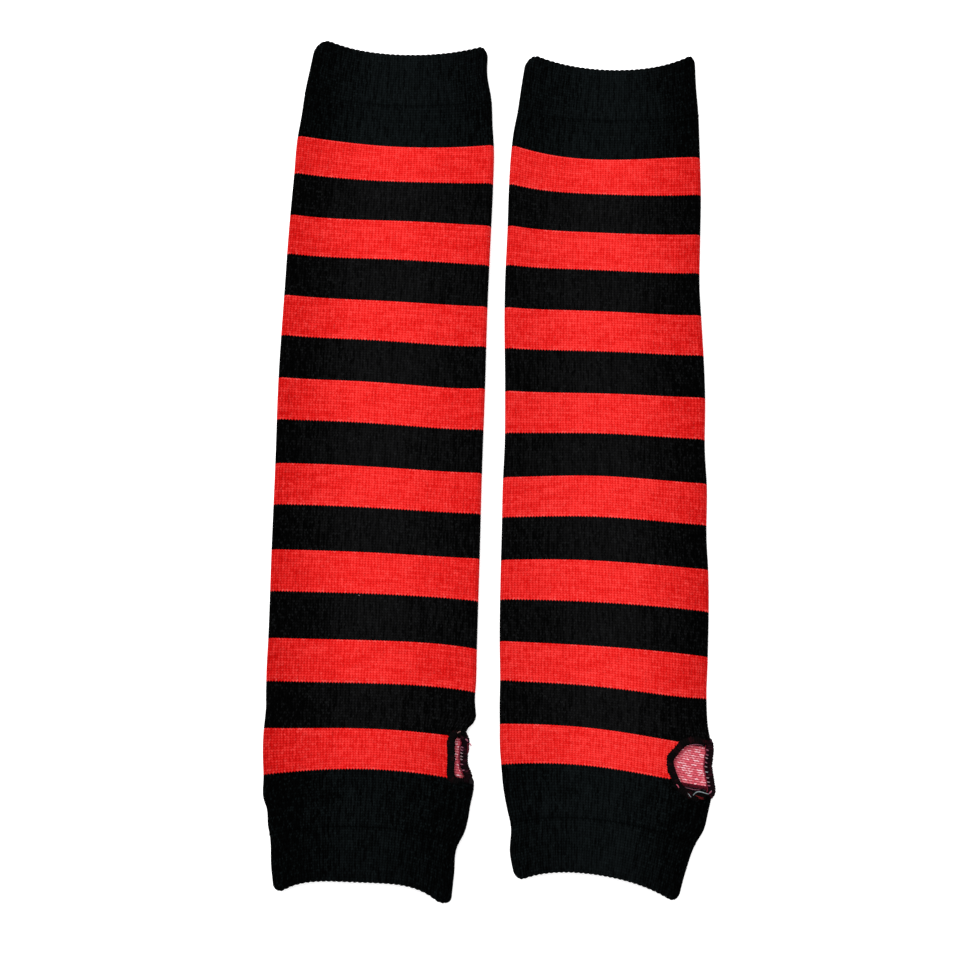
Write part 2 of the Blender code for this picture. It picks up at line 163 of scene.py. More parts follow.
rightSleeve = {
    "name": "right",
    "x": 43.73,
    "y": -9.95,
    "lean": 0.61,
    "wristSeam": -126.8,
    "armSeam": 142.9,
    "corners": {"wrist": (4.0, 4.0), "arm": (6.0, 3.0)},
    "stripes": [
        (-107.7, -93.7), (-78.0, -62.8), (-46.4, -30.6), (-13.9, 1.9),
        (18.3, 34.0), (50.4, 66.4), (82.7, 97.9), (113.4, 127.6),
    ],
    "sections": [
        (-146.1, -33.4, 27.2, -3.4, 0.3, -4.4, -10.9),
        (-136.5, -34.8, 29.6, -2.5, 0.5, -4.2, -9.2),
        (-126.8, -34.6, 33.3, -1.5, 0.6, -3.9, -8.0),
        (-122.5, -35.8, 36.3, -0.8, 0.9, -3.8, -7.4),
        (-117.0, -37.1, 38.0, 0.2, 1.2, -3.6, -6.6),
        (-107.9, -38.2, 39.9, 0.8, 1.5, -3.8, -6.2),
        (-100.7, -38.8, 40.0, 1.3, 1.6, -3.7, -6.1),
        (-93.9, -38.9, 39.6, 1.7, 1.7, -3.6, -6.0),
        (-85.8, -39.0, 38.2, 1.9, 1.6, -3.1, -5.0),
        (-78.2, -38.9, 37.9, 2.1, 1.5, -2.7, -4.0),
        (-63.0, -39.2, 38.5, 1.5, 1.1, -1.8, -3.7),
        (-30.6, -39.0, 39.0, -0.2, 0.4, -1.6, -3.1),
        (-19.0, -38.8, 38.5, -0.5, 0.1, -1.6, -3.0),
        (1.9, -38.5, 38.8, -1.1, -0.3, -1.5, -2.8),
        (14.0, -38.0, 38.2, -0.6, -0.1, -1.2, -2.4),
        (34.0, -38.0, 38.5, 0.4, 0.2, -0.8, -1.6),
        (66.4, -38.5, 37.3, 1.0, 0.5, -1.0, -1.5),
        (76.0, -38.4, 36.8, 1.3, 0.6, -0.9, -1.3),
        (97.7, -37.6, 37.2, 2.3, 0.9, -0.5, -0.8),
        (113.4, -37.2, 37.6, 3.6, 1.2, -0.3, -0.2),
        (127.4, -36.3, 37.4, 5.2, 1.8, 0.8, 0.8),
        (134.7, -35.5, 37.2, 4.8, 1.7, 0.9, 2.1),
        (142.9, -34.1, 36.9, 4.1, 1.4, 1.1, 3.4),
        (153.1, -32.7, 36.1, 5.6, 1.9, 1.5, 5.0),
        (164.3, -31.4, 35.7, 7.7, 2.6, 2.0, 7.1),
    ],
    "pulled": 0.1,
    "cutDrop": 0.0,
    "looper": 1.04,
    "edging": [
        (23.9, -104.7, 1.0), (25.4, -110.4, 1.0), (28.0, -114.9, 1.0), (31.6, -117.3, 1.0),
        (36.2, -118.2, 0.75), (39.2, -116.2, 0.2), (39.1, -111.8, 0.0), (38.3, -106.4, 0.0),
        (38.9, -101.0, 0.05), (38.2, -97.4, 0.5), (34.2, -96.7, 0.95), (29.4, -97.9, 1.0),
        (26.3, -100.9, 1.0),
    ],
}


def toRow(sleeve, points):
    # a sleeve's own millimetres turned clockwise by its lean and moved to its place, in metres
    turn = math.radians(sleeve["lean"])
    x, y, z = np.moveaxis(points, -1, 0)
    across = sleeve["x"] + x * math.cos(turn) + y * math.sin(turn)
    along = sleeve["y"] - x * math.sin(turn) + y * math.cos(turn)
    return np.stack([across, along, z], axis=-1) * mm


def ease(x):
    # 0 below 0, 1 above 1 and a smooth step between
    x = np.clip(x, 0.0, 1.0)
    return x * x * (3.0 - 2.0 * x)


def column(sleeve, name, along):
    # a column of the section table at any places: a cubic through the rows, sloped by neighbours
    table = np.array(sleeve["sections"])
    places, values = table[:, 0], table[:, sectionColumns.index(name)]
    slopes = np.gradient(values, places)
    i = np.clip(np.searchsorted(places, along) - 1, 0, len(places) - 2)
    span = places[i + 1] - places[i]
    u = (along - places[i]) / span
    return (
        (2 * u**3 - 3 * u**2 + 1) * values[i]
        + (u**3 - 2 * u**2 + u) * span * slopes[i]
        + (3 * u**2 - 2 * u**3) * values[i + 1]
        + (u**3 - u**2) * span * slopes[i + 1]
    )


def sectionSizes(sleeve, along):
    # the flattened ring at each place: fold radius, half the flat width, centre, how far the
    # front sags between the folds, and the way round.  The hems are thicker than the tube
    left, right = column(sleeve, "left", along), column(sleeve, "right", along)
    pastArm = (along - sleeve["armSeam"]) / cloth["hemEase"] + 1.0
    pastWrist = (sleeve["wristSeam"] - along) / cloth["hemEase"] + 1.0
    thicker = ease(np.maximum(pastArm, pastWrist))
    middle = cloth["tubeMiddle"] + (cloth["hemMiddle"] - cloth["tubeMiddle"]) * thicker
    fold = cloth["tubeFold"] + (cloth["hemFold"] - cloth["tubeFold"]) * thicker
    half = (right - left - fold) / 2
    # the same edges without their bumps: a low curve fitted to the table's columns
    table = np.array(sleeve["sections"])
    smoothLeft, smoothRight = [
        np.polyval(np.polyfit(table[:, 0], table[:, k], cloth["edgeFit"]), along) for k in (1, 2)
    ]
    return {
        "radius": fold / 2,
        "half": half,
        "centre": (left + right) / 2,
        "straightHalf": (smoothRight - smoothLeft - fold) / 2,
        "straightCentre": (smoothLeft + smoothRight) / 2,
        "sag": fold - middle,
        "fold": fold,
        "round": 4 * half + math.pi * fold,
    }


# the front layer's relief, in millimetres: three waves by their height and their lengths
# across and along, over 2 pi, and the puckers round the thumb hole by their height, their
# distance from its middle, the width and flatness of their ring, and their count.  The
# right sleeve's waves are shifted by a phase
relief = {
    "sway": {"height": 0.10, "across": 9.5, "along": 23.0, "swing": 0.8},
    "roll": {"height": 0.09, "across": 31.0, "along": 12.5, "shift": 1.3},
    "slant": {"height": 0.06, "across": 5.3, "along": 17.0},
    "pucker": {"height": 0.28, "away": 13.0, "width": 4.5, "flat": 0.75, "count": 9.0},
    "rightPhase": 2.1,
}


def softRelief(sleeve, x, y):
    # slow swells of the front layer, which are crossed sine waves of unlike length, and
    # puckers: a sine of the direction from the hole's middle times a bell over the distance
    phase = 0.0 if sleeve["name"] == "left" else relief["rightPhase"]
    sway, roll, slant, pucker = (relief[name] for name in ("sway", "roll", "slant", "pucker"))
    swing = sway["swing"] * np.sin(y / sway["along"] + phase)
    swell = (
        sway["height"] * np.sin(x / sway["across"] + swing + phase)
        + roll["height"] * np.sin(y / roll["along"] + x / roll["across"] + roll["shift"] * phase)
        + slant["height"] * np.sin(x / slant["across"] - y / slant["along"] + phase)
    )
    line = np.array(sleeve["edging"])
    dx, dy = x - line[:, 0].mean(), y - line[:, 1].mean()
    away = np.hypot(dx, dy * pucker["flat"])
    ring = np.exp(-(((away - pucker["away"]) / pucker["width"]) ** 2))
    return swell + pucker["height"] * ring * np.sin(np.arctan2(dy, dx) * pucker["count"])


def clothPoints(sleeve, along, wale, inset, ahead=0.0):
    # a point of the flattened tube: wale number w runs round the section from the middle of
    # the back, right fold, front, left fold; arc length = w / wales * the way round.  The
    # folds are half circles, the back is flat, the front sags between the folds by 1 - f^4.
    # Inset moves the point in along the outer face's normal, ahead moves it along the sleeve.
    # A wale keeps to a straight course, straight centre + straight half * s, and takes the
    # fold's bumps only near it, by s^4.  How far the section runs ahead is the curve of 4th
    # degree through its five spots, and a mouth's corners are drawn back towards its seam
    size = sectionSizes(sleeve, along)
    radius, half, centre = size["radius"], size["half"], size["centre"]
    bend = math.pi * radius
    arc = wale / cloth["wales"] * size["round"]
    turn = (np.clip(arc - half, 0, bend) + np.clip(arc - 3 * half - bend, 0, bend)) / radius
    top = np.clip(arc - half - bend, 0, 2 * half)
    core = centre + np.minimum(arc, half) - top + np.clip(arc - 3 * half - 2 * bend, 0, half)
    isFront = (turn > 0.5 * math.pi) & (turn < 1.5 * math.pi)
    s = np.clip((core - centre) / half, -1.0, 1.0)
    straight, width = size["straightCentre"], size["straightHalf"]
    bumpRight = centre + half - straight - width
    bumpLeft = centre - half - straight + width
    core = straight + width * s + np.where(s > 0, bumpRight, bumpLeft) * s**4
    f = np.clip((core - centre) / half, -1.0, 1.0)
    x = core + (radius - inset) * np.sin(turn)
    spread = (x - centre) / (half + radius)
    spots = [column(sleeve, name, along) for name in sectionColumns[3:]]
    spots.insert(2, np.zeros_like(along))
    shape = np.linalg.solve(np.vander(sectionSpots, 5), np.reshape(spots, (5, -1)))
    curve = sum(shape[k].reshape(np.shape(along)) * spread ** (4 - k) for k in range(5))
    for end, mouth in (("wrist", 0), ("arm", -1)):
        mouthAt, seam = sleeve["sections"][mouth][0], sleeve[end + "Seam"]
        deep = np.clip((along - seam) / (mouthAt - seam), 0.0, 1.0) ** 2
        for side, drawn in zip((-1.0, 1.0), sleeve["corners"][end]):
            reach = drawn * deep / (half + radius) + 1e-6
            near = np.clip((side * spread - 1.0 + reach) / reach, 0.0, 1.0) ** 2
            curve = curve + math.copysign(1.0, seam - mouthAt) * drawn * deep * near
    y = along + curve + ahead
    lift = softRelief(sleeve, x, y) * isFront * np.sqrt(1.0 - f**2)
    z = radius - (radius - inset) * np.cos(turn) - size["sag"] * (1.0 - f**4) * isFront + lift
    return np.stack(np.broadcast_arrays(x, y, z), axis=-1)


def ribDepth(wale):
    # a wale is two rows of legs: a deep groove beside it and a shallow split down its middle
    w = wale * 2 * math.pi
    return (
        cloth["grooveDepth"] * ((1 + np.cos(w)) / 2) ** cloth["grooveSharp"]
        + cloth["splitDepth"] * (1 + np.cos(2 * w)) / 2
    )


def courseAt(sleeve, along):
    # the course number: as many to each stripe, evenly between its edges, and on by gauge
    edges = np.ravel(sleeve["stripes"])
    numbers = np.arange(len(edges)) * float(cloth["coursesPerStripe"])
    inside = np.interp(along, edges, numbers)
    below = np.minimum(along - edges[0], 0.0) / cloth["course"]
    above = np.maximum(along - edges[-1], 0.0) / cloth["course"]
    return inside + below + above


def fineWales():
    # wale positions round the tube: fine over the front and folds, one a wale underneath
    per, first, last = mesh["samplesPerWale"], mesh["firstFineWale"], mesh["lastFineWale"]
    fine = np.arange(first * per, last * per) / per
    return np.r_[np.arange(first), fine, np.arange(last, cloth["wales"] + 1)]


def corners(grid):
    # the four corners of every cell of a grid, (along, across), in outward order
    return np.stack([grid[:-1, :-1], grid[1:, :-1], grid[1:, 1:], grid[:-1, 1:]], -1)


def wrapped(first, rows, columns):
    # vertex numbers of a grid that closes on itself, with its first column repeated last
    grid = first + np.arange(rows * columns).reshape(rows, columns)
    return np.concatenate([grid, grid[:, :1]], axis=1)


def share(values):
    # each value's share of the way from the lowest to the highest
    return (values - values.min()) / (values.max() - values.min())


def quads(vertex, across, along, bakeLow, bakeHigh, number=0):
    # four-cornered faces over a grid of vertex numbers: (faces, stitch map, bake map, material)
    u, v = np.broadcast_arrays(across[None, :], along[:, None])
    stitch = np.stack([corners(u), corners(v)], -1)
    bakeU = bakeRoom["margin"] + bakeRoom["width"] * corners(share(u))
    bakeV = bakeLow + (bakeHigh - bakeLow) * corners(share(v))
    return corners(vertex), stitch, np.stack([bakeU, bakeV], -1), number


def pick(block, keep, number=None):
    # the faces of a block that a mask keeps, perhaps in another material
    faces, stitch, bake, old = block
    return faces[keep], stitch[keep], bake[keep], old if number is None else number


def flipped(block):
    # the same faces turned to look the other way
    faces, stitch, bake, number = block
    return faces[..., ::-1], stitch[..., ::-1, :], bake[..., ::-1, :], number


def newObject(name, data):
    # an object of this data, in the scene
    made = bpy.data.objects.new(name, data)
    bpy.context.scene.collection.objects.link(made)
    return made


def newMesh(name, points, blocks, materials):
    # one closed piece from its points, in metres, and its blocks of faces
    data = bpy.data.meshes.new(name)
    blocks = [
        (faces.reshape(-1, faces.shape[-1]), stitch.reshape(-1, 2), bake.reshape(-1, 2), number)
        for faces, stitch, bake, number in blocks
    ]
    sizes = np.concatenate([np.full(len(b[0]), b[0].shape[1]) for b in blocks])
    around = np.concatenate([b[0].ravel() for b in blocks])
    starts = np.r_[0, np.cumsum(sizes)[:-1]]
    index = np.concatenate([np.full(len(b[0]), b[3]) for b in blocks])
    data.vertices.add(len(points))
    data.vertices.foreach_set("co", points.astype(np.float32).ravel())
    data.loops.add(len(around))
    data.loops.foreach_set("vertex_index", around.astype(np.int32))
    data.polygons.add(len(sizes))
    data.polygons.foreach_set("loop_start", starts.astype(np.int32))
    data.polygons.foreach_set("material_index", index.astype(np.int32))
    for layer, k in (("stitch", 1), ("OFBake", 2)):
        flat = np.concatenate([b[k] for b in blocks]).astype(np.float32)
        data.uv_layers.new(name=layer).data.foreach_set("uv", flat.ravel())
    for material in materials:
        data.materials.append(material)
    data.update(calc_edges=True)
    data.validate()
    data.shade_smooth()
    made = newObject(name, data)
    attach(made, "root")
    return made


# a round thread: a direction that none runs along, where on its half wave the taper starts,
# where its two ends read the colours, and how it bakes: the free share at each side of its
# cell, and the ends, which are small ovals above it by their size and their gap
threadShape = {
    "aside": (0.31, 0.17, 0.93),
    "blunt": 0.22,
    "ends": (0.25, 0.75),
    "free": 0.05,
    "capWidth": 0.15,
    "capHeight": 0.0012,
    "capGap": 0.005,
}


def sweptThreads(paths, radius, sides, first, number, bakeLow, bakeHigh):
    # round threads along many paths at once, paths being (threads, points, 3): a ring of
    # sides at each point, square to the path, thinner at both ends and closed there
    threads, steps = paths.shape[:2]
    ahead = np.gradient(paths, axis=1)
    ahead /= np.linalg.norm(ahead, axis=-1, keepdims=True)
    beside = np.cross(ahead, threadShape["aside"])
    beside /= np.linalg.norm(beside, axis=-1, keepdims=True)
    over = np.cross(beside, ahead)
    blunt = threadShape["blunt"]
    taper = np.sin(np.linspace(blunt, math.pi - blunt, steps)) ** 0.5
    angle = np.arange(sides) / sides * 2 * math.pi
    ring = beside[:, :, None] * np.cos(angle)[:, None] + over[:, :, None] * np.sin(angle)[:, None]
    points = paths[:, :, None] + ring * (radius * taper)[None, :, None, None]
    blocks = []
    margin, cell, free = bakeRoom["margin"], bakeRoom["width"] / threads, threadShape["free"]
    steady = np.linspace(0.0, 1.0, steps)
    disc = np.stack([np.cos(angle), np.sin(angle)], -1)
    disc = disc * [cell * threadShape["capWidth"], threadShape["capHeight"]]
    for k in range(threads):
        vertex = wrapped(first + k * steps * sides, steps, sides)
        body = quads(vertex, np.arange(sides + 1) / sides, steady, bakeLow, bakeHigh, number)
        faces, stitch, bake, _ = body
        across = margin + cell * (k + free + (1 - 2 * free) * bake[..., 0])
        blocks.append((faces, stitch, np.stack([across, bake[..., 1]], -1), number))
        for end, level in zip((0, -1), threadShape["ends"]):
            above = bakeHigh + threadShape["capGap"] * (1 if end == 0 else 2)
            oval = disc + [margin + cell * (k + 0.5), above]
            rim = vertex[end, :-1][None]
            cap = (rim, np.zeros((1, sides, 2)) + level, oval[None], number)
            blocks.append(flipped(cap) if end == 0 else cap)
    return points.reshape(-1, 3), blocks


def inPolygon(x, y, outline):
    # whether a line from each point crosses the outline an odd number of times
    inside = np.zeros(np.shape(x), bool)
    for (ax, ay), (bx, by) in zip(outline, np.roll(outline, -1, axis=0)):
        crosses = (ay > y) != (by > y)
        at = ax + (y - ay) / np.where(by == ay, 1e-9, by - ay) * (bx - ax)
        inside ^= crosses & (x < at)
    return inside


def edgingLine(sleeve, steps):
    # a smooth closed curve through the edging's stitches, evenly spaced by its own length
    stitches = np.array(sleeve["edging"])[:, None]
    before, after = np.roll(stitches, 1, 0), np.roll(stitches, -1, 0)
    beyond = np.roll(stitches, -2, 0)
    u = np.linspace(0, 1, mesh["curveSteps"], endpoint=False)[None, :, None]
    dense = 0.5 * (
        2 * stitches
        + (after - before) * u
        + (2 * before - 5 * stitches + 4 * after - beyond) * u**2
        + (3 * stitches - before - 3 * after + beyond) * u**3
    )
    dense = dense.reshape(-1, 3)
    closed = np.vstack([dense, dense[:1]])
    length = np.r_[0, np.cumsum(np.linalg.norm(np.diff(closed, axis=0), axis=1))]
    at = np.linspace(0, length[-1], steps, endpoint=False)
    return np.stack([np.interp(at, length, closed[:, k]) for k in range(3)], -1), length[-1]


def openOutline(line, chosen, drop):
    # the chosen stretch of the closed line, carried out past the right-hand fold, with its
    # lower end dropped a little there
    start = int(np.flatnonzero(chosen & ~np.roll(chosen, 1))[0])
    stretch = np.roll(line, -start, axis=0)[np.roll(chosen, -start), :2]
    ends = stretch[[-1, 0], 1]
    out = ends - drop * (ends == ends.min())
    return np.concatenate([stretch, np.column_stack([[cloth["pastFold"]] * 2, out])])


def adds(operation):
    # a method that adds a Math node of one operation
    return lambda self, *others: self.math(operation, *others)


class Wire:
    # one output in a node tree; arithmetic on wires adds Math nodes
    __add__ = __radd__ = adds("ADD")
    __sub__ = adds("SUBTRACT")
    __mul__ = __rmul__ = adds("MULTIPLY")
    __mod__ = adds("FLOORED_MODULO")
    __pow__ = adds("POWER")
    __lt__ = adds("LESS_THAN")
    __gt__ = adds("GREATER_THAN")
    __abs__ = adds("ABSOLUTE")
    floor = adds("FLOOR")
    fract = adds("FRACT")

    def __init__(self, graph, socket):
        self.graph = graph
        self.socket = socket

    def math(self, operation, *others):
        # a Math node on this wire and on other wires or numbers
        inputs = dict(enumerate((self, *others)))
        return self.graph.node("Math", {"operation": operation}, inputs)

    def __rsub__(self, other):
        return self.math("MULTIPLY_ADD", -1.0, other)

    def hump(self):
        # half a sine wave over each whole number
        return (self.fract() * math.pi).math("SINE")

    def within(self, low, high):
        # 0 at low, 1 at high, and clamped
        return self.graph.node("MapRange", None, {0: self, 1: low, 2: high})


class Graph:
    # a material and its nodes
    def __init__(self, name, **constants):
        self.material = bpy.data.materials.new(name)
        self.material.use_nodes = True
        self.tree = self.material.node_tree
        self.shader = self.tree.nodes["Principled BSDF"]
        for socket, value in constants.items():
            self.shader.inputs[socket.replace("_", " ")].default_value = value

    def node(self, kind, settings=None, inputs=None, output=0):
        # a new node with its settings and inputs, as the wire of one of its outputs
        made = self.tree.nodes.new("ShaderNode" + kind)
        for key, value in (settings or {}).items():
            setattr(made, key, value)
        for key, value in (inputs or {}).items():
            self.feed(made.inputs[key], value)
        return Wire(self, made.outputs[output])

    def feed(self, socket, value):
        # a wire is linked, and a colour or a number is set on the socket
        if isinstance(value, Wire):
            self.tree.links.new(value.socket, socket)
        elif isinstance(value, tuple):
            socket.default_value = (*value, 1.0)
        else:
            socket.default_value = value

    def mix(self, factor, a, b):
        # colours, from a to b
        return self.node("Mix", {"data_type": "RGBA"}, {0: factor, 6: a, 7: b}, 2)

    def stitchMap(self):
        # the wale and the course, or what else the map of a piece's stitches gives
        place = self.node("UVMap", {"uv_map": "stitch"})
        split = self.node("SeparateXYZ", None, {0: place})
        return split, Wire(self, split.socket.node.outputs[1])

    def dice(self, x, y, shift=0.0):
        # one random number for each whole pair x, y; shift tells one set from another
        spot = self.node("CombineXYZ", None, {0: x, 1: y, 2: shift})
        return self.node("TexWhiteNoise", {"noise_dimensions": "3D"}, {"Vector": spot}, "Value")

    def noise(self, scale, detail=2.0):
        # smooth noise over the piece's own place, scale in lumps to the metre
        spot = self.node("TexCoord", None, None, "Object")
        inputs = {"Vector": spot, "Scale": scale, "Detail": detail}
        return self.node("TexNoise", None, inputs, "Fac")

    def place(self, axis):
        # the place along one of the piece's axes, in metres
        spot = self.node("TexCoord", None, None, "Object")
        return self.node("SeparateXYZ", None, {0: spot}, axis)

    def finish(self, colour, height=None, distance=0.0):
        # the material, with its colour and perhaps a height that bumps it, distance in metres
        self.feed(self.shader.inputs["Base Color"], colour)
        if height is not None:
            bump = self.node("Bump", None, {"Height": height, "Distance": distance})
            self.feed(self.shader.inputs["Normal"], bump)
        return self.material


knitLook = {
    # the shade colours show where the tone is low, partly by chance and partly as painted shade in
    # the knit's grooves and at the folds
    "red": (0.68, 0.0090, 0.0080),
    "redShade": (0.30, 0.0020, 0.0018),
    "redPale": (0.70, 0.105, 0.096),
    "black": (0.0048, 0.0048, 0.0050),
    "blackShade": (0.0001, 0.0001, 0.0001),
    "blackPale": (0.016, 0.017, 0.018),
    "endBlack": (0.0037, 0.0052, 0.0056),
    "endPale": (0.009, 0.014, 0.015),
    "rough": 0.92,
    "shine": 0.012,
    "slant": 0.45,  # how many courses a leg climbs over its half wale
    "rowRound": 0.7,  # the powers that flatten a leg's two humps, and the second one's share
    "legRound": 0.5,
    "legShare": 0.6,
    "stitchTone": 0.19,  # how much the tone changes from stitch to stitch
    "clouds": (55.0, 3.0),  # the scale and detail of a slow change, and its weight
    "cloudTone": 0.14,
    "fuzz": 900.0,
    "fuzzTone": 0.22,
    "streak": (0.22, 5.0),  # streaks to a course, and lines to a wale, and how far they shift
    "line": (0.16, 7.0),
    "flecks": 5.0,  # the power that makes pale stitches rare
    "lint": (2100.0, 0.68, 0.80),
    "foldFrom": 0.2,
    "foldPaintedShade": 0.30,  # how much painted shade deepens the colour at the folds
    "outerPaintedShade": 0.27,  # and how much more painted shade there is at the pair's two outer folds
    "outerFold": 0.08,  # where those lie, in metres from the middle of the pair
    "wristPaintedShade": 0.14,  # and painted shade towards the left sleeve's wrist, from and to a place in metres
    "wristFrom": (-0.05, -0.12),
    "leftPaintedShade": 0.03,  # painted shade: how much darker the left sleeve's red is than the right's
    # the weights of height, rib, streak and line in black and in red, what is taken off their sum,
    # and the range that runs from the shade to the full colour; the height and rib weights paint
    # shade between the legs and into the grooves
    "blackTone": (0.22, 0.22, 0.36, 0.0),
    "blackLess": 0.235,
    "blackRange": (0.10, 0.82),
    "redTone": (0.32, 0.26, 0.18, 0.20),
    "redLess": 0.28,
    "redRange": (-0.35, 0.75),
    "palest": (0.35, 1.0),  # the range over which bright red turns pale, and how pale
    "paleShare": 0.35,
    "paleFold": 0.7,  # how much of the painted fold shade doesn't count for that
    "blackFlecks": (0.30, 0.15),  # the weights of pale stitches and of lint
    "redFlecks": (0.20, 0.20),
    "lap": 0.20,  # how far a leg laps over the course below, and how much more so at the
    "lowerLap": 0.30,  # lower edge of a red stripe, which the next two numbers mark out
    "lapFrom": 4.0,
    "lapCourses": 10.0,
    "edgeRange": (1.6, 0.6),  # courses from a stripe's edge over which it has more flecks
    "edgeFlecks": 0.35,
    "bump": 0.00016,
}


def redCourses(course):
    # 1 in the red stripes, which are every other one from the first to the last
    stripe = cloth["coursesPerStripe"]
    first, last = course > 0.0, course < cloth["bands"] * stripe
    return (course % (2 * stripe) < stripe) * first * last


def faceKnit(name, striped):
    # plain knit from its face: each wale is two rows of legs, and a leg climbs from the middle
    # of the wale to its side, so height = hump across the leg's course times hump over the leg
    look = knitLook
    g = Graph(name, Roughness=look["rough"], Specular_IOR_Level=look["shine"])
    wale, course = g.stitchMap()
    side = abs(wale.fract() * 2.0 - 1.0)
    climb = course - side * look["slant"]
    row, leg = climb.floor(), (wale * 2.0).floor()
    legHump = side.hump() ** look["legRound"] * look["legShare"] + (1 - look["legShare"])
    height = climb.hump() ** look["rowRound"] * legHump
    # every stitch, every few stitches of a wale and every few of a course has its own tone
    stitch = g.dice(leg, row) * look["stitchTone"]
    often, shift = look["streak"]
    streak = g.dice(leg, (course * often + g.dice(leg, 3.0) * shift).floor(), 2.0)
    often, shift = look["line"]
    line = g.dice((wale * often + g.dice(5.0, row) * shift).floor(), row, 6.0)
    soft = g.noise(*look["clouds"]) * look["cloudTone"] + g.noise(look["fuzz"]) * look["fuzzTone"]
    # painted shade: the colour is deepened towards each fold, more at the pair's outer folds, and
    # towards the left sleeve's wrist
    fold = abs(wale * (4.0 / cloth["wales"]) - 2.0).within(look["foldFrom"], 1.0)
    outer = (abs(g.place(0)) * (1.0 / look["outerFold"])) ** 2.0
    isLeft = g.place(0) < 0.0
    deep = fold * (outer * look["outerPaintedShade"] + look["foldPaintedShade"])
    deep = deep + g.place(1).within(*look["wristFrom"]) * isLeft * look["wristPaintedShade"]
    # painted shade: darker towards the groove on each side of a wale
    rib = 1.0 - side
    shared = stitch + soft - deep
    fleck = g.dice(leg, row, 8.0) ** look["flecks"] * height
    scale, low, high = look["lint"]
    lint = g.noise(scale).within(low, high)

    def toned(weights, less):
        # the tone that black and red share, with streaks and lines by weight and the relief as
        # painted shade between the legs and in the grooves
        total = shared
        for part, weight in zip((height, rib, streak, line), weights):
            total = total + part * weight
        return total - less

    # black shows its wales, by painted shade in the grooves, more than its courses; both ends of
    # the sleeve are a bluer black
    dark = toned(look["blackTone"], look["blackLess"]).within(*look["blackRange"])
    pale = fleck * look["blackFlecks"][0] + lint * look["blackFlecks"][1]
    ends = g.mix(dark, look["blackShade"], look["endBlack"])
    ends = g.mix(pale, ends, look["endPale"])
    if not striped:
        return g.finish(ends, height, look["bump"])
    black = g.mix(dark, look["blackShade"], look["black"])
    black = g.mix(pale, black, look["blackPale"])
    stripe = cloth["coursesPerStripe"]
    black = g.mix((course < 0.0) + (course > cloth["bands"] * stripe), black, ends)

    # a red leg laps over the black course below it, and the top edge is nearly even
    isLower = (course + look["lapFrom"]) % (2 * stripe) < look["lapCourses"]
    painted = course - side * (isLower * look["lowerLap"] + look["lap"])
    atEdge = abs((painted + 0.5) % stripe - 0.5).within(*look["edgeRange"])
    # painted shade makes the whole left sleeve's red a little darker
    bright = toned(look["redTone"], look["redLess"]) - isLeft * look["leftPaintedShade"]
    red = g.mix(bright.within(*look["redRange"]), look["redShade"], look["red"])
    # the pale tint follows bright tone, which is partly random and partly painted light on the
    # legs' tops
    glow = (bright + deep * look["paleFold"]).within(*look["palest"]) * look["paleShare"]
    glow = glow + fleck * look["redFlecks"][0] + atEdge * fleck * look["edgeFlecks"]
    red = g.mix(glow + lint * look["redFlecks"][1], red, look["redPale"])
    return g.finish(g.mix(redCourses(painted), black, red), height, look["bump"])


insideLook = {
    "pink": (0.54, 0.082, 0.112),
    "pinkShade": (0.14, 0.003, 0.009),
    "white": (0.72, 0.53, 0.57),
    "maroon": (0.060, 0.003, 0.008),
    "dark": (0.0026, 0.0024, 0.0028),
    "darkPale": (0.020, 0.017, 0.019),
    "dash": 1.5,  # wales that a dash of elastic runs along, and how far they shift
    "dashShift": 3.0,
    "spark": (1.5, 0.37),  # brighter spots to a wale, and how far each course shifts them
    "wave": 0.2,  # how far a hump lifts its course
    "dashWeights": (0.6, 0.5),
    "dashRange": (0.48, 0.92),
    "bandRange": (0.62, 0.94),
    "dashPale": 0.9,
    "caughtBelow": 1.3,  # courses below a red stripe where its yarn is caught, and how often
    "caught": (1500.0, 0.30, 0.55),
    "toneWeights": (0.75, 0.60, 0.20),  # of the height, which paints shade between the courses, a noise and the brighter spots
    "toneNoise": 1200.0,
    "toneRange": (0.15, 0.95),
}


def insideKnit(name, striped):
    # the purl side: each course is a row of low humps, one a wale, set half a wale on in
    # every second course; pale elastic shows through as broken dashes along the courses
    look, inside = knitLook, insideLook
    g = Graph(name, Roughness=look["rough"], Specular_IOR_Level=look["shine"])
    wale, course = g.stitchMap()
    row = course.floor()
    hump = (wale + row * 0.5).hump()
    band = (course + hump * inside["wave"]).hump()
    height = band * (hump * 0.5 + 0.5)
    shifted = g.dice(2.0, row) * inside["dashShift"]
    dash = g.dice((wale * (1.0 / inside["dash"]) + shifted).floor(), row)
    often, slant = inside["spark"]
    bright = g.dice((wale * often + row * slant).floor(), row, 1.0)
    dashes, sparks = inside["dashWeights"]
    pale = (dash * dashes + bright * sparks).within(*inside["dashRange"])
    pale = pale * band.within(*inside["bandRange"])
    dark = g.mix(pale, inside["dark"], inside["darkPale"])
    if not striped:
        return g.finish(dark, height, look["bump"])
    # red yarn ends are caught in the black course below each red stripe
    scale, low, high = inside["caught"]
    caught = redCourses(course + inside["caughtBelow"]) * g.noise(scale).within(low, high)
    dark = g.mix(caught, dark, inside["maroon"])
    # painted shade: the pink is darker between the courses and humps, where the height is low
    raised, rough, spots = inside["toneWeights"]
    tone = height * raised + g.noise(inside["toneNoise"]) * rough + bright * spots
    tone = tone.within(*inside["toneRange"])
    pink = g.mix(tone, inside["pinkShade"], inside["pink"])
    pink = g.mix(pale * inside["dashPale"], pink, inside["white"])
    return g.finish(g.mix(redCourses(course), dark, pink), height, look["bump"])


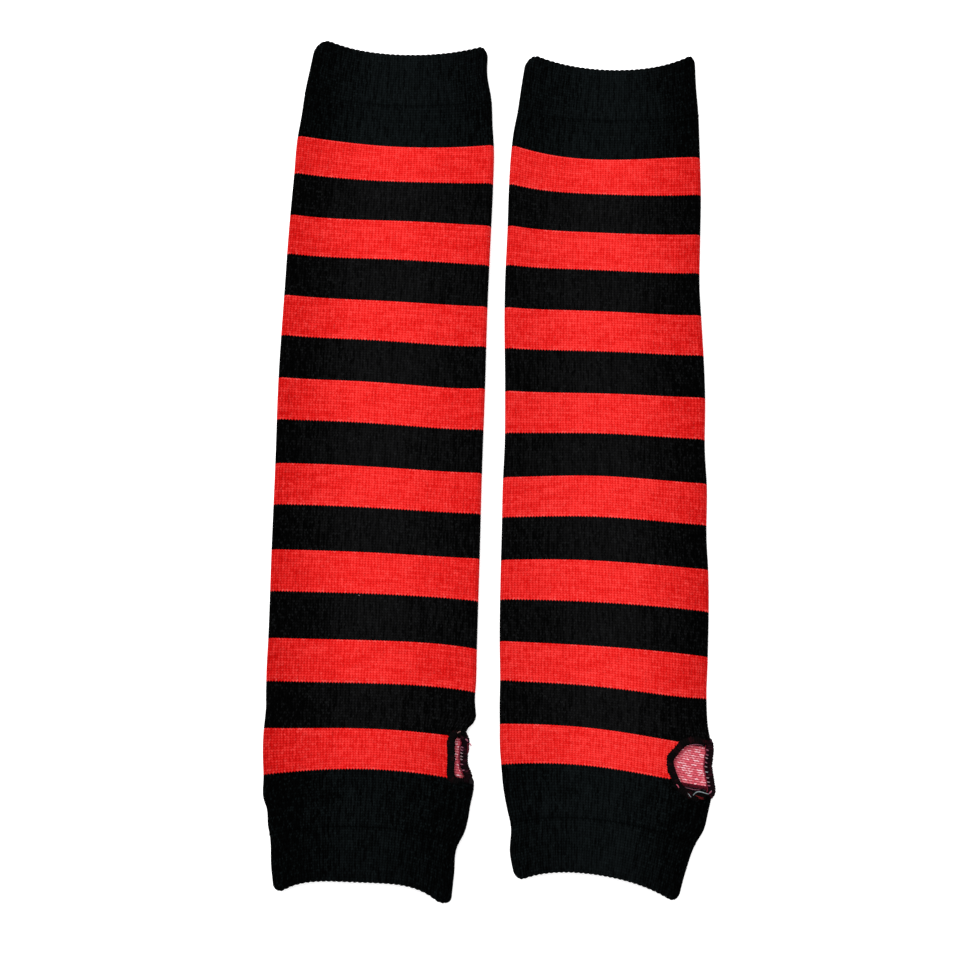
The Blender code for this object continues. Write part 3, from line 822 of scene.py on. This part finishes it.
# the colours of the loose threads, and those of the overlock: its yarn, the shade between the
# wraps and the stain on it
threadLook = {
    "mauve": (0.24, 0.075, 0.115),
    "ash": (0.26, 0.175, 0.190),
    "grey": (0.21, 0.25, 0.26),
    "tan": (0.15, 0.085, 0.075),
    "pink": (0.40, 0.070, 0.115),
    "darkRed": (0.11, 0.0025, 0.0035),
    "maroon": (0.060, 0.003, 0.009),
    "looperShadeRed": (0.13, 0.004, 0.014),
    "plum": (0.030, 0.006, 0.016),
    "soot": (0.0030, 0.0018, 0.0021),
}
threadNames = list(threadLook)
# the plies' shade is painted shade: how dark the groove between them is
plyLook = {"rough": 0.8, "shine": 0.1, "shade": 0.55, "turns": 5.0, "bump": 0.00004}
overlockLook = {
    "black": ((0.0021, 0.0013, 0.0015), (0.0004, 0.0003, 0.0003), (0.020, 0.002, 0.004)),
    "stained": ((0.0060, 0.0016, 0.0027), (0.0012, 0.0003, 0.0005), (0.050, 0.007, 0.015)),
}

# strands to a wrap and to a turn round the roll, what gaps and strands weigh in the tone and
# its range, and the stains by their noise's scale and range and their strength
wrapLook = {
    "rough": 0.85,
    "shine": 0.03,
    "strands": (4.0, 9.0),
    "weights": (0.7, 0.5),
    "range": (0.1, 1.2),
    "stains": (420.0, 0.52, 0.70),
    "stained": 0.8,
    "bump": 0.00004,
}


def edgingThread(name, colours):
    # overlocked thread: black wraps with dark gaps, stained here and there by red yarn ends;
    # the map gives the turn round the roll and the wrap's number along it
    g = Graph(name, Roughness=wrapLook["rough"], Specular_IOR_Level=wrapLook["shine"])
    turn, wrap = g.stitchMap()
    perWrap, perTurn = wrapLook["strands"]
    strands = (wrap * perWrap + turn * perTurn).hump()
    gaps, raised = wrapLook["weights"]
    tone = abs(wrap.fract() * 2.0 - 1.0) * gaps + strands * raised
    yarn, gap, red = colours
    black = g.mix(tone.within(*wrapLook["range"]), yarn, gap)
    scale, low, high = wrapLook["stains"]
    stain = g.noise(scale).within(low, high) * g.dice((wrap * 2.0).floor(), 4.0)
    return g.finish(g.mix(stain * wrapLook["stained"], black, red), strands, wrapLook["bump"])


def looseThread(name, colour):
    # two plies twisted together: the tone is a half sine of the turns along and around, which
    # paints shade into the groove between the plies
    g = Graph(name, Roughness=plyLook["rough"], Specular_IOR_Level=plyLook["shine"])
    around, ply = g.stitchMap()
    twist = (ply * plyLook["turns"] + around).hump()
    shade = tuple(plyLook["shade"] * c for c in colour)
    return g.finish(g.mix(twist, shade, colour), twist, plyLook["bump"])


def stripedTube(sleeve, materials):
    # the tube: a fine outer face and a plainer inner face, a wall apart, closed at both ends
    # and round the thumb hole, where whole cells of a wale by a row are left out of both
    fine, plain = fineWales(), np.arange(cloth["wales"] + 1.0)
    low, high = sleeve["wristSeam"] + cloth["seamGap"], sleeve["armSeam"] - cloth["seamGap"]
    rows = np.linspace(low, high, mesh["tubeRows"])
    fromSeam = np.minimum(rows - low, high - rows) / cloth["seamReach"]
    seamRound = (1 - np.clip(fromSeam, 0, 1)) ** 2 * cloth["seamRound"]
    places, courses = rows[:, None], courseAt(sleeve, rows)
    outer = clothPoints(sleeve, places, fine[None, :-1], ribDepth(fine[:-1]) + seamRound[:, None])
    inner = clothPoints(sleeve, places, plain[None, :-1], cloth["wall"])
    outerNumbers = wrapped(0, len(rows), len(fine) - 1)
    innerNumbers = wrapped(outer[..., 0].size, len(rows), cloth["wales"])

    line, _ = edgingLine(sleeve, mesh["cutSteps"])
    isOver, drop = line[:, 2] > 0.5, sleeve["cutDrop"]
    halfway, betweenWales = (places[1:] + places[:-1]) / 2, plain[None, :-1] + 0.5
    cells = clothPoints(sleeve, halfway, betweenWales, cloth["wall"] / 2)
    x, y, z = np.moveaxis(cells, -1, 0)
    front = inPolygon(x, y, openOutline(line, isOver, drop)) & (z > cloth["betweenLayers"])
    back = inPolygon(x, y, openOutline(line, ~isOver, drop))
    keep = ~(front | back)

    # in the hole the back layer is pulled along a little, its red stripe with it
    fromEdge = (rows - sleeve["stripes"][0][0]) / cloth["pullReach"]
    pulled = sleeve["pulled"] * np.exp(-(fromEdge**2))
    first = np.searchsorted(fine, plain)  # each wale's first fine column
    wale = np.searchsorted(plain, fine[:-1], side="right") - 1
    blocks = [
        pick(quads(outerNumbers, fine, courses, *bakeRoom["outer"]), keep[:, wale]),
        flipped(pick(quads(innerNumbers, plain, courses + pulled, *bakeRoom["inner"], 1), keep)),
    ]
    blocks += cutEdges(keep, outerNumbers, innerNumbers, first, fine, courses)
    points = np.concatenate([outer.reshape(-1, 3), inner.reshape(-1, 3)])
    if "lint" in sleeve:
        lint = sleeve["lint"]
        at, across = (np.linspace(*lint[name], mesh["bend"]) for name in ("along", "wale"))
        path = clothPoints(sleeve, at, across, -lint["proud"])[None]
        room = bakeRoom["lint"]
        fleck, parts = sweptThreads(path, lint["radius"], lint["sides"], len(points), 2, *room)
        points = np.concatenate([points, fleck])
        blocks += parts
    made = newMesh(sleeve["name"] + "_striped_cloth", toRow(sleeve, points), blocks, materials)
    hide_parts(sleeve["name"] + "_striped_tube")
    return made, (sectionSizes(sleeve, rows)["round"].mean(), high - low)


# where the cut faces bake: the first cell's place, a cell's size, the cells in a row, and a
# face's four corners in its cell
cutCells = {
    "start": (0.01, 0.765),
    "size": (0.0045, 0.003),
    "columns": 215,
    "corners": [(0.1, 0.1), (0.8, 0.1), (0.8, 0.8), (0.1, 0.8)],
}


def cutEdges(keep, outerNumbers, innerNumbers, first, fine, courses):
    # closes the wall wherever a kept cell meets a left-out one: a four-cornered face on each
    # cut along a wale, and on each cut along a course a fan of three-cornered ones
    found = []
    beside = np.roll(keep, 1, axis=1)
    for inside, outside, reverse in ((keep, beside, False), (beside, keep, True)):
        row, k = np.nonzero(inside & ~outside)
        c = first[k]
        outerPair = outerNumbers[row, c], outerNumbers[row + 1, c]
        innerPair = innerNumbers[row, k], innerNumbers[row + 1, k]
        faces = np.stack([outerPair[0], innerPair[0], innerPair[1], outerPair[1]], -1)
        found.append((faces[:, ::-1] if reverse else faces, fine[c], courses[row]))
    padded = np.pad(keep, ((1, 1), (0, 0)))
    above, below = padded[1:], padded[:-1]
    for inside, outside, reverse in ((above, below, False), (below, above, True)):
        row, k = np.nonzero(inside & ~outside)
        count = first[k + 1] - first[k]
        inner, innerNext = innerNumbers[row, k], innerNumbers[row, k + 1]
        fans = [np.stack([outerNumbers[row, first[k + 1]], innerNext, inner], -1)]
        places = [(fine[first[k]], courses[row])]
        for step in range(mesh["samplesPerWale"]):
            r, w = row[step < count], k[step < count]
            c = first[w] + step
            outerPair = outerNumbers[r, c], outerNumbers[r, c + 1]
            fans.append(np.stack([*outerPair, innerNumbers[r, w]], -1))
            places.append((fine[c], courses[r]))
        for faces, (wale, course) in zip(fans, places):
            found.append((faces[:, ::-1] if reverse else faces, wale, course))

    # each cut face bakes to a small cell of its own between the two faces' pictures
    blocks, used = [], 0
    cell, square = np.array(cutCells["size"]), np.array(cutCells["corners"])
    for faces, wale, course in found:
        number = used + np.arange(len(faces))
        used += len(faces)
        spot = np.stack(np.divmod(number, cutCells["columns"])[::-1], -1)
        place = np.array(cutCells["start"]) + spot * cell
        bake = place[:, None] + square[: faces.shape[1]] * cell
        stitch = np.repeat(np.stack([wale, course], -1)[:, None], faces.shape[1], axis=1)
        blocks.append((faces, stitch, bake, 0))
    return blocks


# a linking stitch: wales from one to the next, half its length, its radius and sides, how far
# its middle stands out, how much deeper its ends are, and its clearance above the ground
linkLook = {
    "every": 2,
    "reach": 0.85,
    "radius": 0.14,
    "sides": 6,
    "proud": 0.02,
    "dive": 0.12,
    "clear": 0.02,
}


def linkStitches(sleeve, seam, first):
    # the linking across a hem's seam: a short slanted thread at every second wale
    wales = np.arange(0, cloth["wales"], linkLook["every"]) + 0.5
    step = np.linspace(-1, 1, mesh["bend"])
    along = seam + step * linkLook["reach"]
    wale = wales[:, None] + (step + 1) * linkLook["every"] / 4
    out = linkLook["proud"] - linkLook["dive"] * step**2
    paths = clothPoints(sleeve, np.broadcast_to(along, wale.shape), wale, -out)
    paths[..., 2] = np.maximum(paths[..., 2], linkLook["radius"] + linkLook["clear"])
    room = bakeRoom["links"]
    return sweptThreads(paths, linkLook["radius"], linkLook["sides"], first, 0, *room)


# the scallops of a mouth: their height and reach, and the power that makes them rounder
scallop = {"height": 0.32, "reach": 2.2, "power": 0.8}


def hem(sleeve, end, materials):
    # a hem: a loft closed both ways, from the seam over the outer face, round the mouth's
    # lip and back inside.  At the lip every second wale stands out as a small scallop, a sine
    # along the wales times a bell over the distance from the mouth
    fine = fineWales()
    mouth = sleeve["sections"][0 if end == "wrist" else -1][0]
    seam = sleeve[end + "Seam"]
    outward = math.copysign(1.0, mouth - seam)
    lip = cloth["hemWall"] / 2
    shoulder, start = mouth - outward * lip, seam + outward * cloth["seamGap"]
    shown = start + outward * cloth["seamReach"]
    turn = np.linspace(0, math.pi, mesh["lipRows"] + 2)[1:-1]
    along = np.r_[
        start,
        np.linspace(shown, shoulder, mesh["hemRows"]),
        shoulder + outward * lip * np.sin(turn),
        np.linspace(shoulder, start, mesh["hemInnerRows"]),
    ]
    inset = np.r_[
        cloth["seamRound"],
        np.zeros(mesh["hemRows"]),
        lip - lip * np.cos(turn),
        np.full(mesh["hemInnerRows"], cloth["hemWall"]),
    ]
    shape = fine[None, :-1]
    ribs = ribDepth(shape) * np.clip(1 - inset / lip, 0, 1)[:, None]
    wave = np.abs(np.sin(shape * math.pi / 2)) ** scallop["power"]
    near = np.exp(-(((along - mouth) / scallop["reach"]) ** 2))[:, None]
    ahead = outward * scallop["height"] * (wave * near)
    points = clothPoints(sleeve, along[:, None], shape, inset[:, None] + ribs, ahead)
    numbers = wrapped(0, len(along), len(fine) - 1)
    numbers = np.concatenate([numbers, numbers[:1]])
    step = np.abs(np.diff(along)) + np.abs(np.diff(inset))
    travelled = np.r_[0, np.cumsum(step), step.sum() + cloth["hemWall"]]
    courses = courseAt(sleeve, seam) + outward * travelled / cloth["course"]
    block = quads(numbers, fine, courses, *bakeRoom["hem"])
    block = flipped(block) if outward < 0 else block
    isFace = np.zeros(block[0].shape[:2], bool)
    isFace[: 1 + mesh["hemRows"] + mesh["lipRows"]] = True
    stitches, stitchBlocks = linkStitches(sleeve, seam, points[..., 0].size)
    made = newMesh(
        f"{sleeve['name']}_{end}_hem_cloth",
        toRow(sleeve, np.concatenate([points.reshape(-1, 3), stitches])),
        [pick(block, isFace, 0), pick(block, ~isFace, 1), *stitchBlocks],
        materials,
    )
    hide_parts(f"{sleeve['name']}_{end}_hem")
    middle = sectionSizes(sleeve, np.array([(seam + mouth) / 2]))
    return made, (middle["round"][0], abs(mouth - seam))


# the roll that overlocks the thumb hole, in millimetres; ridge is the wraps' share of its
# size, lumps that of its uneven tension, and slant the angle that a wrap leans from.  Steps
# are those of one wrap, rough steps those of the line that gives its length, and below the
# back level the line lies on the back layer
edgingLook = {
    "width": 3.2,
    "height": 2.2,
    "clearance": 0.02,
    "wrapPitch": 0.86,
    "ridge": 0.13,
    "ridgePower": 0.8,
    "lumps": 0.12,
    "slant": 0.6,
    "steps": 8,
    "sides": 22,
    "roughSteps": 50,
    "backLevel": 0.35,
}

# tufts of cut yarn over the roll, and the looper thread along its foot, whose dark red also serves
# as painted shade where the roll meets the back layer; turns go round the roll from its outer side,
# over its top at 0.25, to the side that faces the hole at 0.5
tuftLook = {"turns": (0.29, 0.41), "radius": 0.24, "slip": 2, "sides": 7, "grow": 1.02}
looperLook = {"turn": 0.44, "wobble": 0.05, "waves": 2.3, "radius": 0.30, "every": 3, "sides": 8}

# what pokes out of the rolls: where along the sleeve the tufts of each colour are, and each
# thread's colour, thickness and points
looseEnds = {
    "left": {
        "tufts": {"mauve": [-99.05, -100.0, -105.0, -106.9], "ash": [-101.1, -102.2, -103.3]},
        "threads": [
            ("tan", 0.40, [(33.0, -94.0, 4.1), (33.8, -93.4, 4.5), (34.6, -93.1, 4.1)]),
            ("mauve", 0.62, [(36.3, -95.8, 2.6), (36.8, -96.1, 2.8), (37.2, -96.6, 2.2)]),
            ("pink", 0.50, [(37.5, -97.2, 1.7), (38.2, -97.6, 1.7), (38.5, -98.3, 1.3)]),
            ("maroon", 0.90, [(36.9, -97.0, 1.9), (37.4, -99.0, 1.7), (37.2, -101.0, 1.5)]),
            ("soot", 2.10, [(38.2, -113.4, 2.4), (39.0, -112.0, 2.6), (38.8, -110.0, 2.0)]),
            ("tan", 0.32, [(34.9, -108.2, 2.3), (35.3, -109.0, 2.5), (36.0, -109.5, 2.4)]),
            ("pink", 0.30, [(33.2, -110.0, 2.6), (34.2, -110.5, 2.8), (35.0, -110.1, 2.7)]),
        ],
    },
    "right": {
        "tufts": {
            "mauve": [-100.6, -102.5, -105.3, -113.5],
            "ash": [-103.75, -106.7, -110.6, -112.3],
            "grey": [-108.5],
        },
        "threads": [
            ("grey", 0.36, [
                (32.3, -117.3, 5.2), (33.3, -116.3, 5.6), (34.4, -115.9, 5.6),
                (35.5, -116.1, 5.4), (36.8, -116.5, 5.1), (38.1, -116.7, 4.4),
            ]),
            ("mauve", 0.50, [(38.1, -116.6, 4.4), (38.8, -116.0, 4.1), (39.2, -115.5, 3.6)]),
            ("grey", 0.24, [(30.4, -116.6, 5.3), (31.0, -117.4, 5.5), (31.5, -118.0, 5.2)]),
            ("darkRed", 0.32, [(33.2, -117.2, 4.9), (34.6, -117.9, 5.3), (36.1, -118.2, 5.0)]),
            ("darkRed", 0.26, [(34.2, -118.2, 5.1), (35.2, -118.5, 5.3), (36.1, -118.6, 5.0)]),
            ("plum", 1.30, [(37.9, -96.9, 2.6), (38.9, -97.2, 2.7), (39.6, -97.9, 2.3)]),
            ("pink", 0.42, [(26.2, -113.4, 5.0), (26.7, -113.9, 5.3), (27.1, -114.6, 5.1)]),
            ("mauve", 0.22, [(31.3, -98.9, 3.6), (33.6, -98.6, 3.4), (36.2, -98.9, 2.9)]),
            ("mauve", 0.22, [(29.6, -114.3, 2.6), (32.4, -115.0, 2.6), (35.1, -115.2, 2.5)]),
        ],
    },
}


def rollPoints(sleeve, line, angle, grow):
    # the roll's surface: an oval of the edging's width and height, square to its line; its
    # middle rises from the surface (level 0) to the front layer (level 1)
    size = sectionSizes(sleeve, line[:, 1])
    f = np.clip((line[:, 0] - size["centre"]) / size["half"], -1, 1)
    layer = size["fold"] - size["sag"] * (1 - f**4) - cloth["wall"] / 2
    rest = edgingLook["height"] / 2 + edgingLook["clearance"]
    level = np.clip(line[:, 2], 0, 1)
    centre = np.column_stack([line[:, :2], rest + level * (layer - rest)])
    ahead = np.roll(centre, -1, axis=0) - np.roll(centre, 1, axis=0)
    ahead[:, 2] = 0
    ahead /= np.linalg.norm(ahead, axis=1)[:, None]
    across = np.column_stack([ahead[:, 1], -ahead[:, 0], np.zeros(len(ahead))])
    wide = edgingLook["width"] / 2 * np.cos(angle) * grow
    high = edgingLook["height"] / 2 * np.sin(angle) * grow
    up = np.array([0.0, 0.0, 1.0])
    return centre[:, None] + across[:, None] * wide[..., None] + up * high[..., None]


def thumbEdging(sleeve, materials):
    # a roll along the edging's line; the thread's wraps are ridges |cos| that slant round it,
    # so that the roll's edge is scalloped like overlock
    _, length = edgingLine(sleeve, edgingLook["roughSteps"])
    wraps = int(round(length / edgingLook["wrapPitch"]))
    perWrap, sides = edgingLook["steps"], edgingLook["sides"]
    line, _ = edgingLine(sleeve, wraps * perWrap)
    wrap = np.arange(wraps * perWrap + 1) / perWrap
    turn = np.arange(sides + 1) / sides
    angle = turn[None, :-1] * 2 * math.pi
    slanted = wrap[:-1, None] + 0.5 * np.sin(angle + edgingLook["slant"])
    ridge = np.abs(np.cos(math.pi * slanted)) ** edgingLook["ridgePower"]
    chance = np.random.default_rng(7 if sleeve["name"] == "left" else 8)
    uneven = np.repeat(chance.random(wraps), perWrap)[:, None] - 0.5
    lumps = 1 + edgingLook["lumps"] * uneven
    grow = (1.0 - edgingLook["ridge"] * (1 - ridge)) * lumps
    roll = rollPoints(sleeve, line, angle, grow)
    numbers = wrapped(0, len(line), sides)
    numbers = np.concatenate([numbers, numbers[:1]])
    block = flipped(quads(numbers, turn, wrap, *bakeRoom["roll"]))
    isBack = np.repeat((line[:, 2] < 0.5)[:, None], sides, axis=1)
    blocks = [pick(block, ~isBack, 0), pick(block, isBack, 1)]
    points = [roll.reshape(-1, 3)]

    def addThreads(paths, radius, sides, material, low, high):
        # threads of one colour, after the points and blocks that are there
        first, number = sum(map(len, points)), 2 + threadNames.index(material)
        made, parts = sweptThreads(paths, radius, sides, first, number, low, high)
        points.append(made)
        blocks.extend(parts)

    backs = np.flatnonzero(line[:, 2] < edgingLook["backLevel"])
    # the looper thread: a real thread, and its dark red is also painted shade beside the roll on
    # the back layer
    track = backs[:: looperLook["every"]]
    wobble = looperLook["wobble"] * np.sin(looperLook["waves"] * np.arange(len(line)))
    steady = np.full((len(line), 1), looperLook["turn"] * 2 * math.pi)
    looper = rollPoints(sleeve, line, steady, (sleeve["looper"] + wobble)[:, None])[track, 0]
    sides, room = looperLook["sides"], bakeRoom["looper"]
    addThreads(looper[None], looperLook["radius"], sides, "looperShadeRed", *room)

    ends, bend, rows = looseEnds[sleeve["name"]], mesh["bend"], bakeRoom["threadRows"]
    hug = np.linspace(*tuftLook["turns"], bend) * 2 * math.pi
    slips = np.linspace(0, tuftLook["slip"], bend).round().astype(int)
    hugging = np.broadcast_to(hug, (len(line), bend))
    over = rollPoints(sleeve, line, hugging, tuftLook["grow"])
    for k, (material, places) in enumerate(ends["tufts"].items()):
        spots = [backs[np.argmin(np.abs(line[backs, 1] - y))] for y in places]
        tufts = over[np.add.outer(spots, slips) % len(line), np.arange(bend)]
        low = bakeRoom["tufts"][0] + bakeRoom["tufts"][1] * k
        addThreads(tufts, tuftLook["radius"], tuftLook["sides"], material, low, low + rows)
    for k, (material, thickness, knots) in enumerate(ends["threads"]):
        at = np.linspace(0, 1, 4 * len(knots) - 3)
        knots = np.array(knots)
        fit = np.polyfit(np.linspace(0, 1, len(knots)), knots, min(len(knots) - 1, 3))
        path = sum(fit[j] * at[:, None] ** (len(fit) - 1 - j) for j in range(len(fit)))
        low = bakeRoom["threads"][0] + bakeRoom["threads"][1] * k
        addThreads(path[None], thickness / 2, sides, material, low, low + rows)
    name = sleeve["name"] + "_thumb_overlock"
    made = newMesh(name, toRow(sleeve, np.concatenate(points)), blocks, materials)
    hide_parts(sleeve["name"] + "_thumb_edging")
    return made


def buildSleeve(sleeve, looks):
    # the four pieces of one sleeve; a tube's or a hem's cut is the way round by its length
    tube, tubeCut = stripedTube(sleeve, looks["striped"])
    edging = thumbEdging(sleeve, looks["thread"])
    tuple(mm * c for c in tubeCut)
    for end in ("wrist", "arm"):
        turned, cut = hem(sleeve, end, looks["plain"])
        tuple(mm * c for c in cut)
    print(sleeve["name"], "sleeve made")


# the floor's tones, its grain, its own light, its half size and how far it lies under the
# pair in metres, and how bright the sky is
stageLook = {
    "floor": (0.93, 0.93, 0.93),
    "grain": (0.91, 0.91, 0.91),
    "grainScale": 25.0,
    "rough": 0.9,
    "glow": 0.36,
    "half": 3.0,
    "below": 0.0002,
    "sky": 1.0,
}


def makeStage():
    # a pale square floor that glows a little itself, so that shadows stay weak, and a white sky
    half, drop = stageLook["half"], -stageLook["below"]
    data = bpy.data.meshes.new("floor")
    rim = [(-half, -half, drop), (half, -half, drop), (half, half, drop), (-half, half, drop)]
    data.from_pydata(rim, [], [(0, 1, 2, 3)])
    rough, glow = stageLook["rough"], stageLook["glow"]
    g = Graph("floor_paint", Roughness=rough, Specular_IOR_Level=0.0, Emission_Strength=glow)
    grain = g.noise(stageLook["grainScale"])
    data.materials.append(g.finish(g.mix(grain, stageLook["grain"], stageLook["floor"])))
    newObject("floor", data)

    world = bpy.data.worlds.new("studio")
    world.use_nodes = True
    background = world.node_tree.nodes["Background"]
    background.inputs["Color"].default_value = (1.0, 1.0, 1.0, 1.0)
    background.inputs["Strength"].default_value = stageLook["sky"]
    bpy.context.scene.world = world


# soft boxes: name, place, size, watts; each is aimed at the middle of the pair
lights = [
    ("key", (-0.45, 0.45, 1.1), 0.9, 13.0),
    ("fill", (0.8, -0.5, 1.1), 1.0, 3.0),
]


def makeLights():
    # an area lamp turns by arccos(z), and then by atan2(x, -y), to face back to the middle
    for name, place, size, watts in lights:
        data = bpy.data.lights.new(name, "AREA")
        data.size = size
        data.energy = watts
        lamp = newObject(name, data)
        lamp.location = place
        back = np.array(place) / np.linalg.norm(place)
        lamp.rotation_euler = (math.acos(back[2]), 0.0, math.atan2(back[0], -back[1]))


# in metres and degrees, with the lens and the sensor in millimetres
camera = {
    "distance": 0.8,
    "tilt": 11.07,
    "lens": 78.56,
    "sensor": 36.0,
    "lookAt": (-0.00223, -0.00995, 0.0),
    "nearest": 0.01,
}


def makeCamera():
    # over the pair, moved towards the wrists by distance * sin(tilt) and turned back by the tilt
    tilt, distance = math.radians(camera["tilt"]), camera["distance"]
    data = bpy.data.cameras.new("camera")
    data.lens = camera["lens"]
    data.sensor_width = camera["sensor"]
    data.clip_start = camera["nearest"]
    made = newObject("camera", data)
    x, y, z = camera["lookAt"]
    made.location = (x, y - distance * math.sin(tilt), z + distance * math.cos(tilt))
    made.rotation_euler = (tilt, 0.0, 0.0)
    bpy.context.scene.camera = made


def makeLooks():
    # the materials of each kind of piece, in the order of their numbers on its faces
    overlock = [edgingThread(name + "_overlock", overlockLook[name]) for name in overlockLook]
    loose = [looseThread(name + "_thread", threadLook[name]) for name in threadNames]
    fleck = loose[threadNames.index("ash")]
    return {
        "striped": [faceKnit("striped_knit", True), insideKnit("striped_knit_inside", True), fleck],
        "plain": [faceKnit("black_knit", False), insideKnit("black_knit_inside", False)],
        "thread": [*overlock, *loose],
    }


makeCamera()
makeStage()
makeLights()
print("camera, floor and lights made")
looks = makeLooks()
for sleeve in (leftSleeve, rightSleeve):
    buildSleeve(sleeve, looks)
bpy.context.scene.view_settings.view_transform = "Standard"
